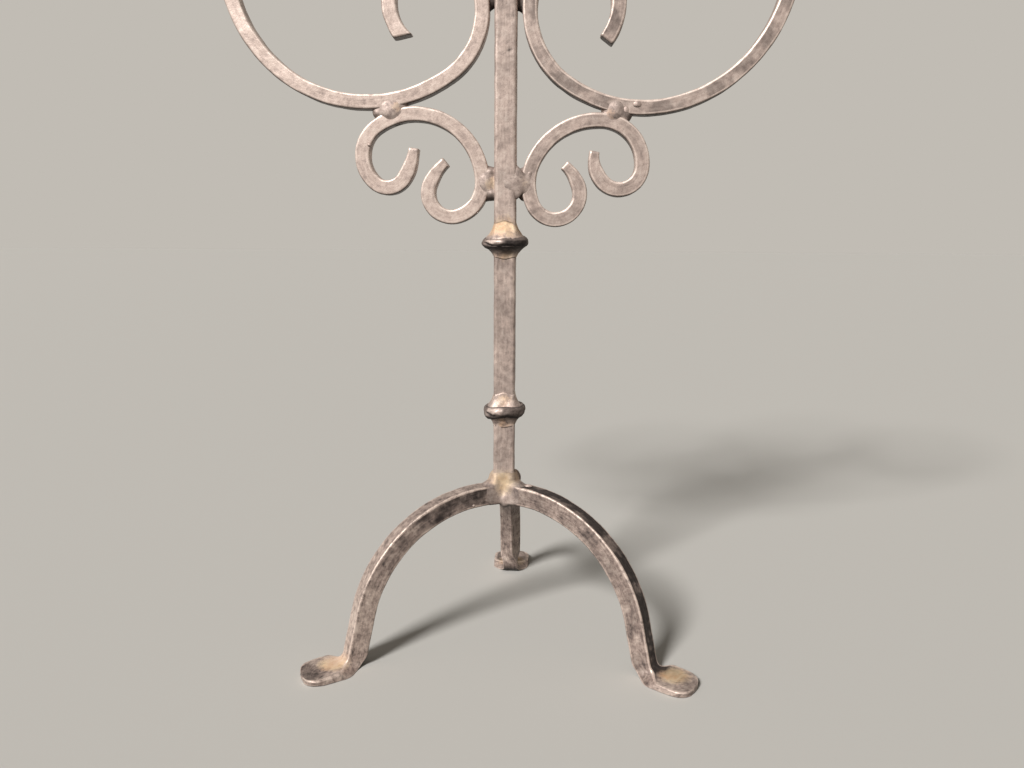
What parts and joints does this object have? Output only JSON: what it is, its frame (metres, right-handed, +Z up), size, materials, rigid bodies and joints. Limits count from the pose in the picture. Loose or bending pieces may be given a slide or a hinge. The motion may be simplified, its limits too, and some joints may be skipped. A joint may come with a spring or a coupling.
{
  "type": "candelabra",
  "caption": "Wrought-iron table candelabra: tripod with penny feet, square stem with knops, paired C-scrolls and spiral arms carrying drip pans and candle cups.",
  "frame": {"origin": "on the stem's axis at table level", "axes": "+Z up along the stem, +X to the right-hand arm, +Y to the rear leg"},
  "size_m": [0.2887, 0.152, 0.3759],
  "materials": {
    "iron_bar": "matte, weathered",
    "forged_leg": "matte, weathered",
    "weld_bead": "matte, weathered",
    "pan_and_cup": "matte, weathered"
  },
  "bodies": {
    "root": {"stem": "iron_bar", "scroll_left": "iron_bar", "scroll_right": "iron_bar", "arm_left": "iron_bar", "arm_right": "iron_bar", "lower_knop": "iron_bar", "upper_knop": "iron_bar", "leg_left": "forged_leg", "leg_right": "forged_leg", "leg_rear": "forged_leg", "hub_weld": "weld_bead", "lower_knop_weld_top": "weld_bead", "lower_knop_weld_bottom": "weld_bead", "upper_knop_weld_top": "weld_bead", "upper_knop_weld_bottom": "weld_bead", "scroll_stem_weld_left": "weld_bead", "scroll_stem_weld_right": "weld_bead", "arm_stem_weld_left": "weld_bead", "arm_stem_weld_right": "weld_bead", "arm_scroll_weld_left": "weld_bead", "arm_scroll_weld_right": "weld_bead", "drip_pan_left": "pan_and_cup", "drip_pan_centre": "pan_and_cup", "drip_pan_right": "pan_and_cup", "candle_cup_left": "pan_and_cup", "candle_cup_centre": "pan_and_cup", "candle_cup_right": "pan_and_cup", "cup_rivet_left": "pan_and_cup", "cup_rivet_centre": "pan_and_cup", "cup_rivet_right": "pan_and_cup"}
  },
  "joints": []
}
